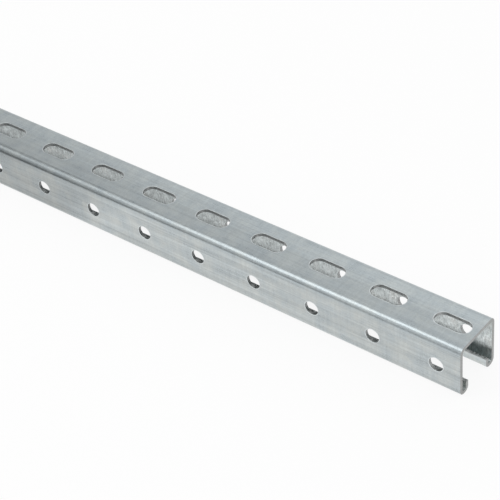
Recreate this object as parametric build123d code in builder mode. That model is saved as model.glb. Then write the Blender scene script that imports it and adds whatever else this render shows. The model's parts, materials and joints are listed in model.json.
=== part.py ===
# Strut channel: one length of cold-rolled galvanised strip, formed into a square
# C section with the open side down and the two strip edges turned in and up as lips.
# The web on top carries a row of long slots. Each flange carries a row of round holes
# at the same stations, so a bolt or a pin goes straight across the channel.
# X runs along the channel, Y across it, Z up. The lips' rolled feet stand on Z = 0.
import os

from build123d import *

os.makedirs("parts", exist_ok=True)

# Overall section and length
channel_length = 609.6
channel_width = 41.3
channel_height = 41.3
strip_thickness = 2.66

# Lips: how far each turns in from its flange's outside face, and how far it stands up
lip_width = 9.55
lip_height = 8.5
lip_edge_round = 0.35

# Outside radii of the rolled bends
shoulder_bend_radius = 5.0
foot_bend_radius = 4.5
lip_bend_radius = 4.0
least_flat_between_bends = 0.2

# Punching: one slot and one pair of round holes at every station
station_pitch = 50.8
end_to_first_station = 19.05
slot_length = 27.8
slot_width = 12.7
side_hole_diameter = 11.1
side_hole_height = 19.8

# The mouth is what the two lips leave open between them
half_width = channel_width / 2
half_mouth = half_width - lip_width

# Where the lip is too narrow for its two bends, both get smaller together
room_for_bends = lip_width - least_flat_between_bends
bend_scale = min(1, room_for_bends / (foot_bend_radius + lip_bend_radius))
foot_radius = foot_bend_radius * bend_scale
lip_radius = lip_bend_radius * bend_scale

# The stations start from the end at +X and go on as long as there is metal for the next
station_room = channel_length - 2 * end_to_first_station
station_count = int(station_room // station_pitch) + 1
first_station_x = channel_length / 2 - end_to_first_station
station_x = [first_station_x - i * station_pitch for i in range(station_count)]

with BuildPart() as strut_channel:
    # The section is drawn as its outside line, from one lip's tip round to the other's,
    # and thickened inwards by the strip
    with BuildSketch(Plane.YZ):
        with BuildLine():
            outside = FilletPolyline(
                (-half_mouth, lip_height),
                (-half_mouth, 0),
                (-half_width, 0),
                (-half_width, channel_height),
                (half_width, channel_height),
                (half_width, 0),
                (half_mouth, 0),
                (half_mouth, lip_height),
                radius=[
                    lip_radius,
                    foot_radius,
                    shoulder_bend_radius,
                    shoulder_bend_radius,
                    foot_radius,
                    lip_radius,
                ],
            )
            offset(outside, amount=strip_thickness, side=Side.RIGHT)
        make_face()
    extrude(amount=channel_length / 2, both=True)

    # The strip's own edges are slightly rounded, all along the tips of both lips
    lip_tips = (
        strut_channel.faces()
        .filter_by(Axis.Z)
        .filter_by_position(Axis.Z, lip_height - 0.01, lip_height + 0.01)
    )
    fillet(lip_tips.edges().filter_by(Axis.X), radius=lip_edge_round)

    # Slots through the web
    with BuildSketch(Plane.XY.offset(channel_height)):
        with Locations([(x, 0) for x in station_x]):
            SlotOverall(slot_length, slot_width)
    extrude(amount=-strip_thickness, mode=Mode.SUBTRACT)

    # Round holes straight across both flanges
    with BuildSketch(Plane.XZ):
        with Locations([(x, side_hole_height) for x in station_x]):
            Circle(side_hole_diameter / 2)
    extrude(amount=half_width, both=True, mode=Mode.SUBTRACT)

strut_channel.part.label = "strut_channel"
export_step(strut_channel.part, "parts/strut_channel.step")
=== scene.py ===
import json
import math

import bmesh
import bpy
import numpy as np
from mathutils import Matrix, Quaternion, Vector


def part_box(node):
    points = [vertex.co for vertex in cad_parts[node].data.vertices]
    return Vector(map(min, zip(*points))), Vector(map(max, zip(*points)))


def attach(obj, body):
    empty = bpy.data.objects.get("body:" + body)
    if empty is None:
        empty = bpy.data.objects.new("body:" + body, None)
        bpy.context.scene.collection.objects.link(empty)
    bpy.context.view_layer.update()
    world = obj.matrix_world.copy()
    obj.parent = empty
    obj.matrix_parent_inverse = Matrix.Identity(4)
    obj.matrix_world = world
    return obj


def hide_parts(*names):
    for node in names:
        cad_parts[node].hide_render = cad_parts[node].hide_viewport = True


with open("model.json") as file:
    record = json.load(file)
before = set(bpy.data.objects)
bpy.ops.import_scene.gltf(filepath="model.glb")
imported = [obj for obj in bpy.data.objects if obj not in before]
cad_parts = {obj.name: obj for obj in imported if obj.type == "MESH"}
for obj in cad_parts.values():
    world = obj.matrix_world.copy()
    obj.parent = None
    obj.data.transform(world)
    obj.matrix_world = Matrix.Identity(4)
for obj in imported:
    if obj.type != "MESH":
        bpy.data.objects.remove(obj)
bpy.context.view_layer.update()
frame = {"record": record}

NODE = "strut_channel"
MM = 0.001
MICRON = 0.000001

# The rolled section, in millimetres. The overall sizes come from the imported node.
STRIP_THICKNESS = 2.66
LIP_WIDTH = 9.55
LIP_HEIGHT = 8.5
LIP_EDGE_ROUND = 0.35
SHOULDER_RADIUS = 5.0
FOOT_RADIUS = 4.5
LIP_RADIUS = 4.0

# Edges that the tools leave, in millimetres. The die draws the outside rim of a punched
# hole down, shears the upper share of the wall and breaks the rest away a little wider; a
# flat ring round the rim carries a painted highlight. The saw leaves a small break round the
# ends.
ROLLED_RIM = 0.12
HIGHLIGHT_RING = 0.42
SHEARED_SHARE = 0.4
BREAKOUT = 0.14
SAWN_EDGE = 0.14

# How finely the mesh is divided
COLUMNS_PER_STATION = 24
ROWS_PER_FLAT = 12
ROWS_PER_LIP = 2
BEND_STEPS = 8
RIM_STEPS = 4
LIP_EDGE_STEPS = 3
# How far the first ring of faces round a hole reaches from it, in millimetres
COLLAR = 1.8
# How often the search for a hole's edge halves the stretch that it lies in
HALVINGS = 50
# Points within a ten-thousandth of a millimetre become one. The small shift moves points
# that lie exactly between two rounding steps to one side.
WELD_DECIMALS = 4
OFF_HALVES = 0.000013
# Edges that turn by this many degrees or more are drawn sharp
SHARP_CORNER = 32

# The kinds of surface, in the order of the mesh's materials
OUTSIDE, INSIDE, RIM, SLOT_WALL, HOLE_WALL, SLIT, SAWN = range(7)

# Colours, linear red, green and blue
FLANGE_COOL, FLANGE_WARM = (0.486, 0.530, 0.543), (0.510, 0.535, 0.526)
# The web's colours are bluer than the flanges': a painted cool reflection on the top of the strip
WEB_COOL_PAINTED_REFLECTION, WEB_WARM_PAINTED_REFLECTION = (0.477, 0.531, 0.554), (0.493, 0.535, 0.540)
# The inside colours are painted far lighter than the outside's: painted light in the hollow
INSIDE_COOL_PAINTED_LIGHT, INSIDE_WARM_PAINTED_LIGHT = (0.71, 0.755, 0.755), (0.735, 0.75, 0.735)
# A painted highlight: the rim's colour is far lighter than the skin's
RIM_HIGHLIGHT_COLOUR = (0.74, 0.79, 0.80)
SLOT_WALL_COLOUR = (0.42, 0.43, 0.43)
HOLE_WALL_COLOUR = (0.35, 0.36, 0.36)
SLIT_COLOUR = (0.60, 0.61, 0.61)
SAWN_COLOUR = (0.365, 0.37, 0.365)
FLOOR_COLOUR = (0.92, 0.92, 0.92)

# How bright the outside skin is, by its place across the strip in millimetres: painted shade
# darkens the web next to the front shoulder and a painted reflection lightens its back half
PAINTED_SHADE_ACROSS_WEB = [(-20.65, 1.0), (-18.6, 1.0), (-15, 0.93), (-2, 0.97), (5, 1.08),
                 (15, 1.09), (20.65, 1.0)]
# Most of a noise's values lie between these two
NOISE_LOW, NOISE_HIGH = 0.3, 0.7

# The camera, in metres, degrees and millimetres of lens
CAMERA_PLACE = (0.7317, -0.692939, 0.793791)
CAMERA_AZIMUTH, CAMERA_ELEVATION, CAMERA_ROLL = 41.673, 39.602, -5.811
CAMERA_LENS, CAMERA_SENSOR = 121.498, 36
CAMERA_CLIP = (0.01, 50)

# The studio, in metres
FLOOR_REACH = 4.0
FLOOR_GAP = 0.0002
FLAG_HEIGHT = 0.002
SIDE_FLAG_HEIGHT = 0.001
MOUTH_FLAG_HEIGHT = 0.0001


# ---------------------------------------------------------------- sizes from the frame

def mount(name):
    return next(m for m in frame["record"]["mounts"] if m["name"] == name)


low, high = (np.array(v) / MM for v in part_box(NODE))
_, width, height = high - low
half_width = width / 2
half_mouth = half_width - LIP_WIDTH

slots = mount("web_slots_at_start")
side_holes = mount("side_holes_at_start")
pitch = slots["dims"]["spacing_x_mm"]
slot_radius = slots["dims"]["hole_r_mm"]
slot_reach = slots["dims"]["slot_length_mm"] / 2 - slot_radius
side_hole_radius = side_holes["dims"]["hole_r_mm"]
side_hole_height = side_holes["pos_m"][2] / MM
first_station = slots["pos_m"][0] / MM + pitch / 2
station_count = int((first_station - low[0]) // pitch) + 1
stations = [first_station - i * pitch for i in range(station_count)]


# ---------------------------------------------------------------- the section

def bend(centre_y, centre_z, radius, start, end):
    """Rows (y, z, normal y, normal z) round a bend, in degrees, both ends included."""
    rows = []
    for angle in np.radians(np.linspace(start, end, BEND_STEPS + 1)):
        c, s = math.cos(angle), math.sin(angle)
        rows.append((centre_y + radius * c, centre_z + radius * s, c, s))
    return rows


def flat(y0, z0, y1, z1, normal, steps):
    """The same rows along a straight stretch."""
    return [
        (y0 + (y1 - y0) * f, z0 + (z1 - z0) * f, *normal)
        for f in np.linspace(0, 1, steps + 1)
    ]


def half_section():
    """The outside of the strip on the -Y side, from the lip's tip up to the web, as spans."""
    lip_y = -half_mouth
    foot_start, foot_end = lip_y - LIP_RADIUS, -half_width + FOOT_RADIUS
    shoulder_z = height - SHOULDER_RADIUS
    return [
        ("lip", flat(lip_y, LIP_HEIGHT - LIP_EDGE_ROUND, lip_y, LIP_RADIUS, (1, 0),
                     ROWS_PER_LIP)),
        ("lip bend", bend(foot_start, LIP_RADIUS, LIP_RADIUS, 0, -90)),
        ("foot", flat(foot_start, 0, foot_end, 0, (0, -1), steps=1)),
        ("foot bend", bend(foot_end, FOOT_RADIUS, FOOT_RADIUS, -90, -180)),
        ("flange", flat(-half_width, FOOT_RADIUS, -half_width, shoulder_z, (-1, 0),
                        ROWS_PER_FLAT)),
        ("shoulder", bend(-half_width + SHOULDER_RADIUS, shoulder_z, SHOULDER_RADIUS,
                          180, 90)),
    ]


def mirrored(rows):
    return [(-y, z, -ny, nz) for y, z, ny, nz in reversed(rows)]


def whole_section():
    near = half_section()
    edge = half_width - SHOULDER_RADIUS
    web = ("web", flat(-edge, height, edge, height, (0, 1), ROWS_PER_FLAT))
    return near + [web] + [(kind, mirrored(rows)) for kind, rows in reversed(near)]


def outer(rows):
    return [(y, z) for y, z, _, _ in rows]


def inner(rows, depth=STRIP_THICKNESS):
    """The line that lies depth below the outside, the inside face unless it is given."""
    return [(y - depth * ny, z - depth * nz) for y, z, ny, nz in rows]


def lip_tip(side):
    """The strip's slit edge at the tip of a lip, from the mouth's face to the inside face."""
    rows, r = [], LIP_EDGE_ROUND
    quarter = np.radians(np.linspace(0, 90, LIP_EDGE_STEPS + 1))
    for a in quarter:
        rows.append((-half_mouth - r + r * math.cos(a), LIP_HEIGHT - r + r * math.sin(a)))
    far = -half_mouth - STRIP_THICKNESS + r
    for a in quarter:
        rows.append((far - r * math.sin(a), LIP_HEIGHT - r + r * math.cos(a)))
    return [(-side * y, z) for y, z in rows]


# ---------------------------------------------------------------- mesh helpers

class Shell:
    """Quads gathered as grids of points, welded where their points meet."""

    def __init__(self):
        self.points, self.faces, self.kinds, self.count = [], [], [], 0

    def grid(self, points, kind, closed=False):
        """Quads between rows of points. Closed rows run round, from their last point to
        their first."""
        points = np.asarray(points, float)
        rows, columns = points.shape[:2]
        self.points.append(points.reshape(-1, 3))
        for i in range(rows - 1):
            for j in range(columns if closed else columns - 1):
                k = (j + 1) % columns
                a, b = self.count + i * columns, self.count + (i + 1) * columns
                self.faces.append((a + j, a + k, b + k, b + j))
                self.kinds.append(kind)
        self.count += rows * columns

    def patch(self, points, kind):
        """One face with any number of corners."""
        self.points.append(np.asarray(points, float))
        self.faces.append(tuple(range(self.count, self.count + len(points))))
        self.kinds.append(kind)
        self.count += len(points)

    def weld(self):
        """One vertex for all points that meet, and no face with fewer than three corners."""
        points = np.concatenate(self.points)
        keys = np.round(points + OFF_HALVES, WELD_DECIMALS)
        _, first, same = np.unique(keys, axis=0, return_index=True, return_inverse=True)
        same = same.ravel()
        faces, kinds = [], []
        for face, kind in zip(self.faces, self.kinds):
            corners = list(dict.fromkeys(int(same[c]) for c in face))
            if len(corners) > 2:
                faces.append(corners)
                kinds.append(kind)
        return points[first] * MM, faces, kinds


def extruded(section, columns):
    return [[(x, y, z) for x in columns] for y, z in section]


# ---------------------------------------------------------------- punched cells

def border(start, end, low_v, high_v):
    """The rectangle round one hole, from its corner at +X, with the hole at (0, 0)."""
    u = np.linspace(end, start, COLUMNS_PER_STATION + 1)
    v = np.linspace(low_v, high_v, ROWS_PER_FLAT + 1)
    right = [(end, b) for b in v[:-1]]
    top = [(a, high_v) for a in u[:-1]]
    left = [(start, b) for b in v[:0:-1]]
    bottom = [(a, low_v) for a in u[:0:-1]]
    return np.array(right + top + left + bottom)


def hole_line(edge, reach, radius):
    """Where the lines from a cell's border to the hole's middle line meet the hole."""
    # How far along the middle line each point of the border has its own centre
    share = edge[:, 0] / np.where(edge[:, 0] > 0, edge[:, 0].max(), -edge[:, 0].min())
    centre = np.stack([reach * share, np.zeros(len(edge))], 1)
    way = edge - centre
    way /= np.linalg.norm(way, axis=1)[:, None]
    well_outside = 4 * (reach + radius)
    near, far = np.zeros(len(edge)), np.full(len(edge), well_outside)
    for _ in range(HALVINGS):
        middle = (near + far) / 2
        at = centre + way * middle[:, None]
        nearest = np.clip(at[:, 0], -reach, reach)
        inside = np.hypot(at[:, 0] - nearest, at[:, 1]) < radius
        near, far = np.where(inside, middle, near), np.where(inside, far, middle)
    return centre + way * near[:, None]


def punched_cell(shell, place, wall_kind, start, end, low_v, high_v, reach, radius):
    """The strip round one hole: outside face, rolled rim, wall, and inside face."""
    edge = border(start, end, low_v, high_v)

    def ring(widening, depth):
        line = hole_line(edge, reach, radius + widening)
        return [place(u, v, depth) for u, v in line]

    face = [place(u, v, 0) for u, v in edge]
    rolled = [
        ring(ROLLED_RIM * (1 - math.sin(a)), ROLLED_RIM * (1 - math.cos(a)))
        for a in np.radians(np.linspace(0, 90, RIM_STEPS + 1))
    ]
    # A flat ring round the rolled rim, which takes the painted highlight
    highlight_ring_line = ring(ROLLED_RIM + HIGHLIGHT_RING, 0)
    shell.grid([face, ring(COLLAR, 0), highlight_ring_line], OUTSIDE, closed=True)
    shell.grid([highlight_ring_line] + rolled, RIM, closed=True)
    sheared = STRIP_THICKNESS * SHEARED_SHARE
    wall = [rolled[-1], ring(0, sheared), ring(BREAKOUT / 2, (sheared + STRIP_THICKNESS) / 2),
            ring(BREAKOUT, STRIP_THICKNESS)]
    shell.grid(wall, wall_kind, closed=True)
    back = [place(u, v, STRIP_THICKNESS) for u, v in edge]
    shell.grid([wall[-1], ring(COLLAR, STRIP_THICKNESS), back], INSIDE, closed=True)


def cell_columns(x):
    """Where the cell round the station at x starts and ends along the channel."""
    start = max(x - pitch / 2, low[0] + SAWN_EDGE)
    end = min(x + pitch / 2, high[0] - SAWN_EDGE)
    return start, end


def all_columns():
    """Where the mesh is divided along the channel, from the far end to the near one."""
    columns = []
    for x in reversed(stations):
        start, end = cell_columns(x)
        columns.extend(np.linspace(start, end, COLUMNS_PER_STATION + 1))
    columns.append(low[0] + SAWN_EDGE)
    return sorted(set(np.round(columns, 6)))


def punch_flats(shell):
    """The web and both flanges, one cell round each slot and side hole."""
    web_edge = half_width - SHOULDER_RADIUS
    flange_low = FOOT_RADIUS - side_hole_height
    flange_high = height - SHOULDER_RADIUS - side_hole_height
    for x in stations:
        start, end = (v - x for v in cell_columns(x))
        punched_cell(
            shell, lambda u, v, depth: (x + u, v, height - depth), SLOT_WALL,
            start, end, -web_edge, web_edge, slot_reach, slot_radius)
        for side in (-1, 1):
            punched_cell(
                shell,
                lambda u, v, depth: (x + u, side * (half_width - depth), side_hole_height + v),
                HOLE_WALL, start, end, flange_low, flange_high, 0, side_hole_radius)


def plain_end(shell, rows):
    """The stretch of a punched flat between the last station's cell and the far end."""
    last = cell_columns(stations[-1])[0]
    end = low[0] + SAWN_EDGE
    if last - end > SAWN_EDGE:
        shell.grid(extruded(outer(rows), [end, last]), OUTSIDE)
        shell.grid(extruded(inner(rows), [end, last]), INSIDE)


def sawn_end(shell, spans, side):
    """One end of the channel: the sawn face, and the small break all round its edge."""
    x_face = high[0] if side > 0 else low[0]
    x_edge = x_face - side * SAWN_EDGE
    for _, rows in spans:
        lines = [
            (x_edge, outer(rows)),
            (x_face, inner(rows, SAWN_EDGE)),
            (x_face, inner(rows, STRIP_THICKNESS - SAWN_EDGE)),
            (x_edge, inner(rows)),
        ]
        shell.grid([[(x, y, z) for y, z in line] for x, line in lines], SAWN)
    for lip_side in (-1, 1):
        tip = lip_tip(lip_side)
        middle_y = sum(y for y, _ in tip) / len(tip)
        base_z = LIP_HEIGHT - LIP_EDGE_ROUND
        end_face = [
            (x_face,
             middle_y + (y - middle_y) * (1 - 2 * SAWN_EDGE / STRIP_THICKNESS),
             base_z + (z - base_z) * (1 - SAWN_EDGE / LIP_EDGE_ROUND))
            for y, z in tip
        ]
        shell.grid([[(x_edge, y, z) for y, z in tip], end_face], SAWN)
        shell.patch(end_face, SAWN)


def build_channel():
    """The whole channel's points in metres, its faces, and each face's kind of surface."""
    shell = Shell()
    spans = whole_section()
    columns = all_columns()
    for kind, rows in spans:
        if kind in ("web", "flange"):
            plain_end(shell, rows)
        else:
            shell.grid(extruded(outer(rows), columns), OUTSIDE)
            shell.grid(extruded(inner(rows), columns), INSIDE)
    for side in (-1, 1):
        shell.grid(extruded(lip_tip(side), columns), SLIT)
        sawn_end(shell, spans, side)
    punch_flats(shell)
    return shell.weld()


def add_object(name, data):
    obj = bpy.data.objects.new(name, data)
    bpy.context.scene.collection.objects.link(obj)
    return obj


def mesh_object(name, points, faces, materials):
    mesh = bpy.data.meshes.new(name)
    mesh.from_pydata(points, [], faces)
    for material in materials:
        mesh.materials.append(material)
    return add_object(name, mesh)


def finish_normals(obj):
    """Faces turned outwards, real corners sharp, and the flats flat right up to the bends."""
    made = bmesh.new()
    made.from_mesh(obj.data)
    bmesh.ops.recalc_face_normals(made, faces=made.faces)
    sharp = math.radians(SHARP_CORNER)
    for edge in made.edges:
        edge.smooth = edge.calc_face_angle(0) < sharp
    for face in made.faces:
        face.smooth = True
    made.to_mesh(obj.data)
    made.free()
    weighted = obj.modifiers.new("flats stay flat", "WEIGHTED_NORMAL")
    weighted.keep_sharp = True


# ---------------------------------------------------------------- materials

class Nodes:
    """Short names for the node calls that the materials need. Where a method takes a value,
    it is a number, a colour or another node's output."""

    def __init__(self, tree):
        self.tree = tree

    def add(self, kind, **settings):
        node = self.tree.nodes.new(kind)
        for name, value in settings.items():
            setattr(node, name, value)
        return node

    def feed(self, socket, value):
        """Links an output to the socket, or sets the socket to a number or a colour."""
        if isinstance(value, bpy.types.NodeSocket):
            self.tree.links.new(value, socket)
        elif socket.type == "RGBA":
            socket.default_value = (*value, 1)
        else:
            socket.default_value = value

    def feed_all(self, node, values):
        for name, value in values.items():
            self.feed(node.inputs[name], value)

    def stretched(self, scale):
        """Object coordinates multiplied by scale, per metre on each axis."""
        place = self.add("ShaderNodeTexCoord").outputs["Object"]
        node = self.add("ShaderNodeMapping")
        self.feed_all(node, {"Scale": scale, "Vector": place})
        return node.outputs["Vector"]

    def place(self, axis, coordinates="Object"):
        """The coordinate along one axis, in metres for object coordinates."""
        node = self.add("ShaderNodeSeparateXYZ")
        vector = self.add("ShaderNodeTexCoord").outputs[coordinates]
        self.feed(node.inputs["Vector"], vector)
        return node.outputs[axis]

    def noise(self, scale, detail=3.0, roughness=0.55):
        """A noise with scale features per metre on each axis, about 0.5 on average."""
        node = self.add("ShaderNodeTexNoise")
        self.feed_all(node, {"Scale": 1.0, "Detail": detail, "Roughness": roughness,
                             "Vector": self.stretched(scale)})
        return node.outputs["Fac"]

    def spread(self, value, from_low, from_high, to_low, to_high):
        """value moved from one range to another, and held inside it."""
        node = self.add("ShaderNodeMapRange")
        self.feed_all(node, {"Value": value, "From Min": from_low, "From Max": from_high,
                             "To Min": to_low, "To Max": to_high})
        return node.outputs["Result"]

    def swing(self, noise, reach, middle=0.0):
        """A noise turned into a value that swings by reach to either side of middle."""
        return self.spread(noise, NOISE_LOW, NOISE_HIGH, middle - reach, middle + reach)

    def math(self, operation, *values):
        node = self.add("ShaderNodeMath", operation=operation)
        for socket, value in zip(node.inputs, values):
            self.feed(socket, value)
        return node.outputs["Value"]

    def total(self, first, *others):
        for other in others:
            first = self.math("ADD", first, other)
        return first

    def product(self, first, *others):
        for other in others:
            first = self.math("MULTIPLY", first, other)
        return first

    def mixed(self, factor, first, second, kind="VALUE"):
        """first where factor is 0 and second where it is 1. kind is RGBA for colours."""
        data_type = "FLOAT" if kind == "VALUE" else "RGBA"
        node = self.add("ShaderNodeMix", data_type=data_type)
        self.feed(node.inputs["Factor"], factor)
        for name, value in (("A", first), ("B", second)):
            socket = next(s for s in node.inputs if s.name == name and s.type == kind)
            self.feed(socket, value)
        return next(s for s in node.outputs if s.type == kind)

    def shaded(self, colour, brightness):
        """colour made lighter or darker by a brightness near 1."""
        node = self.add("ShaderNodeVectorMath", operation="SCALE")
        self.feed_all(node, {"Vector": colour, "Scale": brightness})
        return node.outputs["Vector"]

    def bump(self, relief, depth, below=None):
        """The normal of a relief, depth metres deep, laid over another normal if one is given."""
        node = self.add("ShaderNodeBump")
        self.feed_all(node, {"Height": relief, "Distance": depth})
        if below is not None:
            self.feed(node.inputs["Normal"], below)
        return node.outputs["Normal"]


def new_material(name):
    """An empty material, its nodes, and the socket that takes its surface shader."""
    material = bpy.data.materials.new(name)
    material.use_nodes = True
    n = Nodes(material.node_tree)
    return material, n, n.tree.nodes["Material Output"].inputs["Surface"]


def metal(name):
    """A material with one metallic Principled shader, its nodes, and that shader."""
    material, n, _ = new_material(name)
    shader = n.tree.nodes["Principled BSDF"]
    shader.inputs["Metallic"].default_value = 1.0
    return material, n, shader


def painted_shade_across_web(n):
    """The painted shade and painted reflection across the strip, as a factor. A colour ramp takes
    only places and levels from 0 to 1.
    """
    reach, top_level = 21.0, 1.1
    ramp = n.add("ShaderNodeValToRGB")
    elements = ramp.color_ramp.elements
    for y, level in PAINTED_SHADE_ACROSS_WEB:
        grey = level / top_level
        elements.new((y + reach) / (2 * reach)).color = (grey, grey, grey, 1)
    elements.remove(elements[0])
    elements.remove(elements[-1])
    n.feed(ramp.inputs["Fac"], n.spread(n.place("Y"), -reach * MM, reach * MM, 0, 1))
    return n.product(ramp.outputs["Color"], top_level)


def outside_skin():
    """Zinc skin that went through the rolls: fine lines run along the channel, over soft
    clouds, and the shine varies with them."""
    material, n, shader = metal("galvanised outside")
    up = n.place("Z")
    lines = n.noise((14, 900, 900), detail=4, roughness=0.72)
    long_lines = n.noise((4, 330, 330), detail=2)
    bands = n.noise((2.0, 130, 130), detail=2)
    clouds = n.noise((75, 85, 85), detail=5, roughness=0.65)
    grain = n.noise((700, 1500, 1500), detail=2)
    across = n.noise((520, 40, 40), detail=3, roughness=0.6)

    # The web's streaks are fainter than the flanges'
    streaks = n.product(
        n.total(n.swing(lines, 0.13), n.swing(bands, 0.08), n.swing(long_lines, 0.09)),
        n.spread(up, 36 * MM, 41 * MM, 1.0, 0.6))
    # Low on the flanges there are scores, darkest towards the far end
    scores = n.product(
        n.spread(up, 4 * MM, 11 * MM, 1.0, 0.0),
        n.spread(n.noise((2.5, 650, 650), detail=2, roughness=0.6), 0.48, 0.62, 0.0, -0.2),
        n.spread(n.place("X"), -0.1, 0.25, 1.0, 0.3))
    brightness = n.total(streaks, n.swing(grain, 0.08), n.swing(clouds, 0.09, middle=1.0),
                         n.swing(across, 0.05), scores)
    # Painted shade and a painted reflection: the web darker by its front shoulder and lighter
    # towards its back
    brightness = n.product(brightness, painted_shade_across_web(n))

    warmth = n.spread(clouds, 0.4, 0.62, 0, 1)
    # From just below the shoulder up, the skin takes the web's bluer colours: a painted cool
    # reflection
    tint = n.mixed(n.spread(up, 34.5 * MM, 37.5 * MM, 0, 1),
                   n.mixed(warmth, FLANGE_COOL, FLANGE_WARM, kind="RGBA"),
                   n.mixed(warmth, WEB_COOL_PAINTED_REFLECTION, WEB_WARM_PAINTED_REFLECTION, kind="RGBA"), kind="RGBA")
    n.feed_all(shader, {
        "Base Color": n.shaded(tint, brightness),
        "Roughness": n.total(n.swing(lines, 0.03), n.swing(clouds, 0.04, middle=0.31)),
        "Normal": n.bump(lines, 12 * MICRON, n.bump(grain, 6 * MICRON)),
    })
    return material


def inside_skin():
    """Zinc skin the rolls hardly touched: small crystals of spangle, and fine marks that
    run across the strip. Its colour is painted far lighter than the outside's: painted light in
    the hollow."""
    material, n, shader = metal("galvanised inside painted lighter")
    crystals = n.add("ShaderNodeTexVoronoi")
    n.feed_all(crystals, {"Scale": 1.0, "Vector": n.stretched((750, 750, 450))})
    each = n.add("ShaderNodeSeparateColor")
    n.feed(each.inputs["Color"], crystals.outputs["Color"])
    crystal_shade, crystal_gloss, crystal_height = each.outputs
    grain = n.noise((1500, 1500, 700), detail=3, roughness=0.7)
    across = n.noise((1100, 200, 200), detail=3, roughness=0.65)
    stains = n.noise((90, 90, 90), detail=4)
    brightness = n.total(n.spread(crystal_shade, 0, 1, -0.12, 0.12), n.swing(grain, 0.22),
                         n.swing(across, 0.19), n.swing(stains, 0.07, middle=1.0))
    warmth = n.spread(stains, 0.5, 0.7, 0, 1)
    # Painted light: these colours are far lighter than the outside skin's, to light the hollow
    tint = n.mixed(warmth, INSIDE_COOL_PAINTED_LIGHT, INSIDE_WARM_PAINTED_LIGHT, kind="RGBA")
    n.feed_all(shader, {
        "Base Color": n.shaded(tint, brightness),
        "Roughness": n.spread(crystal_gloss, 0, 1, 0.3, 0.46),
        "Normal": n.bump(crystal_height, 40 * MICRON, n.bump(grain, 10 * MICRON)),
    })
    return material


def rim_with_painted_highlight():
    """The narrow ring round every hole and slot, and its rolled rim, painted lighter than the
    skin: a painted highlight.
    """
    material, n, shader = metal("rim with painted highlight")
    wear = n.noise((260, 260, 260), detail=3)
    grain = n.noise((900, 1500, 1500), detail=2)
    # The painted highlight, a little uneven
    brightness = n.total(n.spread(wear, 0.35, 0.65, 0.76, 1.05), n.swing(grain, 0.06))
    n.feed_all(shader, {
        "Base Color": n.shaded(RIM_HIGHLIGHT_COLOUR, brightness),
        "Roughness": n.spread(wear, 0.35, 0.65, 0.36, 0.28),
    })
    return material


def slit_steel():
    """The lip's slit edge: a bright band where the slitter sheared it, then a band towards the
    inside where it tore away in small dark teeth."""
    sheared_band, fully_torn = 1.0, 1.4
    material, n, shader = metal("slit steel")
    specks = n.noise((600, 1100, 1100), detail=4, roughness=0.65)
    teeth = n.spread(n.noise((620, 90, 90), detail=1), 0.42, 0.58, 0.0, 1.0)
    from_middle = n.math("ABSOLUTE", n.place("Y"))
    torn = n.spread(from_middle, (half_mouth + sheared_band) * MM,
                    (half_mouth + fully_torn) * MM, 0.0, -0.7)
    brightness = n.total(n.swing(specks, 0.25, middle=1.0), n.product(torn, teeth))
    n.feed_all(shader, {
        "Base Color": n.shaded(SLIT_COLOUR, brightness),
        "Roughness": n.swing(specks, 0.07, middle=0.43),
        "Normal": n.bump(teeth, 50 * MICRON, n.bump(specks, 20 * MICRON)),
    })
    return material


def bare_steel(name, colour, marks_scale, specks_contrast):
    """Cut edges: dull bare steel with fine tool marks and specks of torn metal."""
    material, n, shader = metal(name)
    marks = n.noise(marks_scale, detail=3)
    specks = n.noise((1100, 1100, 1100), detail=4, roughness=0.65)
    brightness = n.total(n.swing(marks, 0.12), n.swing(specks, specks_contrast, middle=1.0))
    n.feed_all(shader, {
        "Base Color": n.shaded(colour, brightness),
        "Roughness": n.swing(specks, 0.07, middle=0.43),
        "Normal": n.bump(marks, 30 * MICRON),
    })
    return material


# ---------------------------------------------------------------- the studio

def seen_directly(n, path):
    """1 for a ray that comes straight from the camera or through something clear."""
    return n.math("MAXIMUM", path.outputs["Is Camera Ray"],
                  path.outputs["Is Transmission Ray"])


def deep_shade(n, path, first_depth):
    """Less light for a ray that has already met the metal more than once, down to 0.3 for one
    that met it three times: the hollow of the channel stands over its own shadow. first_depth
    is the depth that the renderer gives to a ray that met the metal once."""
    return n.spread(path.outputs["Ray Depth"], first_depth, first_depth + 2, 1.0, 0.3)


def white_world(light_strength):
    """White to the camera. Metal sees a white that falls off gently to the left, as it does
    in a studio lit from the right."""
    world = bpy.data.worlds.new("studio")
    bpy.context.scene.world = world
    world.use_nodes = True
    n = Nodes(world.node_tree)
    path = n.add("ShaderNodeLightPath")
    # Where the ray goes, from -1 straight to the left to 1 straight to the right
    sideways = n.place("X", coordinates="Generated")
    falloff = n.spread(sideways, -0.75, -0.25, 0.57, 0.97)
    reflected = n.product(falloff, deep_shade(n, path, first_depth=2))
    strength = n.mixed(path.outputs["Is Glossy Ray"], light_strength, reflected)
    n.feed_all(n.tree.nodes["Background"], {
        "Color": (1, 1, 1),
        "Strength": n.mixed(seen_directly(n, path), strength, 1.0),
    })


def at_height(z, corners):
    return [(x, y, z) for x, y in corners]


def rectangle(left, right, front, back, z):
    return at_height(z, [(left, front), (right, front), (right, back), (left, back)])


def card(name, corners, material):
    """A flat piece of the studio, which is no part of the object."""
    obj = mesh_object(name, corners, [tuple(range(len(corners)))], [material])
    return obj


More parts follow.
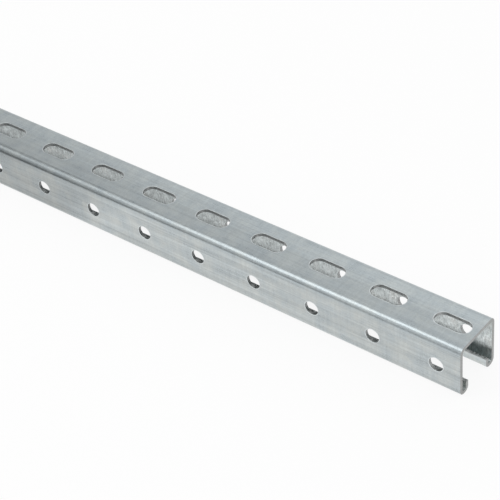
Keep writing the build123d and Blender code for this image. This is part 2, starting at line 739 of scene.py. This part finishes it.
def pale_floor(own_light, reflected_light):
    """A white floor that looks white when seen and still takes the object's shadow. own_light
    and reflected_light are its shares of plain white, seen directly and in the metal."""
    material, n, surface = new_material("floor")
    path = n.add("ShaderNodeLightPath")
    in_metal = n.product(deep_shade(n, path, first_depth=1), reflected_light)
    share = n.mixed(path.outputs["Is Glossy Ray"], 0.0, in_metal)
    share = n.mixed(seen_directly(n, path), share, own_light)
    diffuse = n.add("ShaderNodeBsdfDiffuse")
    n.feed(diffuse.inputs["Color"], FLOOR_COLOUR)
    mix = n.add("ShaderNodeMixShader")
    shaders = (diffuse.outputs["BSDF"], n.add("ShaderNodeEmission").outputs["Emission"])
    for socket, value in zip(mix.inputs, (share, *shaders)):
        n.feed(socket, value)
    n.feed(surface, mix.outputs["Shader"])
    card("floor", rectangle(-FLOOR_REACH, FLOOR_REACH, -FLOOR_REACH, FLOOR_REACH,
                            low[2] * MM - FLOOR_GAP), material)


def flag(name, corners, left, right):
    """A grey card that only reflections see. left and right each give a place along X in
    metres and the brightness there, and between them one turns into the other."""
    material, n, surface = new_material(name)
    glow = n.add("ShaderNodeEmission")
    brightness = n.spread(n.place("X"), left[0], right[0], left[1], right[1])
    n.feed(glow.inputs["Strength"], brightness)
    n.feed(surface, glow.outputs["Emission"])
    obj = card(name, corners, material)
    obj.visible_camera = obj.visible_diffuse = obj.visible_shadow = False


def softbox(name, place, target, size, radiance, turn=0):
    """A rectangular lamp, with its left side lowered by turn degrees. Radiance 1 looks white
    in a reflection."""
    light = bpy.data.lights.new(name, "AREA")
    light.shape = "RECTANGLE"
    light.size, light.size_y = size
    light.energy = radiance * math.pi * size[0] * size[1]
    obj = add_object(name, light)
    obj.location = place
    obj.rotation_mode = "QUATERNION"
    aimed = (Vector(target) - Vector(place)).to_track_quat("-Z", "Y")
    obj.rotation_quaternion = aimed @ Quaternion((0, 0, 1), math.radians(turn))
    obj.visible_camera = False


def make_camera():
    azimuth, elevation, roll = map(
        math.radians, (CAMERA_AZIMUTH, CAMERA_ELEVATION, CAMERA_ROLL))
    back = Vector((math.sin(azimuth) * math.cos(elevation),
                   -math.cos(azimuth) * math.cos(elevation), math.sin(elevation)))
    right = Vector((math.cos(azimuth), math.sin(azimuth), 0))
    up = back.cross(right)
    rolled_right = right * math.cos(roll) + up * math.sin(roll)
    rolled_up = up * math.cos(roll) - right * math.sin(roll)
    standing = Matrix((rolled_right, rolled_up, back)).transposed().to_4x4()
    standing.translation = CAMERA_PLACE
    camera = bpy.data.cameras.new("camera")
    camera.lens, camera.sensor_width = CAMERA_LENS, CAMERA_SENSOR
    camera.clip_start, camera.clip_end = CAMERA_CLIP
    obj = add_object("camera", camera)
    obj.matrix_world = standing
    bpy.context.scene.camera = obj


def light_the_studio():
    """White all round, three soft lamps, and grey flags that the metal mirrors."""
    white_world(light_strength=0.85)
    pale_floor(own_light=0.90, reflected_light=0.8)
    softbox("key", place=(-0.27, -0.53, 1.06), target=(-0.05, 0, 0), size=(0.68, 0.74),
            radiance=1.11, turn=15)
    softbox("key left", place=(-0.56, -0.55, 0.99), target=(-0.34, -0.02, -0.07),
            size=(0.26, 0.74), radiance=0.72, turn=15)
    softbox("fill", place=(-0.73, -1.15, 0.38), target=(0.05, 0, 0.04), size=(0.26, 0.70),
            radiance=0.28)
    # The front flange and the lower part of its shoulder mirror the floor in front
    flag("front flag low",
         at_height(FLAG_HEIGHT, [(-1.6, -0.04), (-0.15, -0.06), (0.0, -0.12),
                                 (0.5, -0.30), (0.9, -1.2), (-1.6, -1.2)]),
         left=(-0.12, 0.16), right=(0.0, 0.45))
    # This one rises at the left, for the dark line below the shoulder's highlight
    flag("front flag high",
         [(-1.8, -1.2, FLAG_HEIGHT), (0.9, -1.2, FLAG_HEIGHT), (0.9, -1.3, 0.26),
          (-0.7, -1.3, 0.26), (-1.05, -1.3, 0.8), (-1.8, -1.3, 1.0)],
         left=(-1.1, 0.24), right=(-0.7, 0.45))
    # The inside of the far flange mirrors the floor under the mouth
    flag("mouth flag", rectangle(-0.31, 0.31, -0.0105, 0.0050, MOUTH_FLAG_HEIGHT),
         left=(0.0, 0.76), right=(0.24, 1.0))
    # A duller strip of floor between the first flag and the far half of the channel
    flag("side flag", rectangle(-1.6, 0.0, -0.0208, -0.3, SIDE_FLAG_HEIGHT),
         left=(-0.06, 0.74), right=(-0.02, 0.98))
    # One even grey, for the dark line between the shoulder's highlight and the web
    flag("left flag",
         [(-2.0, -0.35, 0.2), (-2.0, 0.95, 0.2), (-2.0, 0.95, 1.9), (-2.0, 1.25, 2.0),
          (-2.0, 1.25, 2.75), (-2.0, 0.95, 3.0), (-2.0, -0.35, 3.0)],
         left=(-3, 0.25), right=(-1, 0.25))


# ---------------------------------------------------------------- the scene

points, faces, kinds = build_channel()
channel = mesh_object("channel", points.tolist(), faces, [
    outside_skin(),
    inside_skin(),
    rim_with_painted_highlight(),
    bare_steel("slot walls", SLOT_WALL_COLOUR, (900, 900, 500), specks_contrast=0.35),
    bare_steel("hole walls", HOLE_WALL_COLOUR, (900, 500, 900), specks_contrast=0.5),
    slit_steel(),
    bare_steel("sawn steel", SAWN_COLOUR, (900, 500, 1500), specks_contrast=0.2),
])
channel.data.polygons.foreach_set("material_index", kinds)
finish_normals(channel)
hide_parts(NODE)
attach(channel, "root")

bpy.context.scene.view_settings.view_transform = "Standard"
make_camera()
light_the_studio()
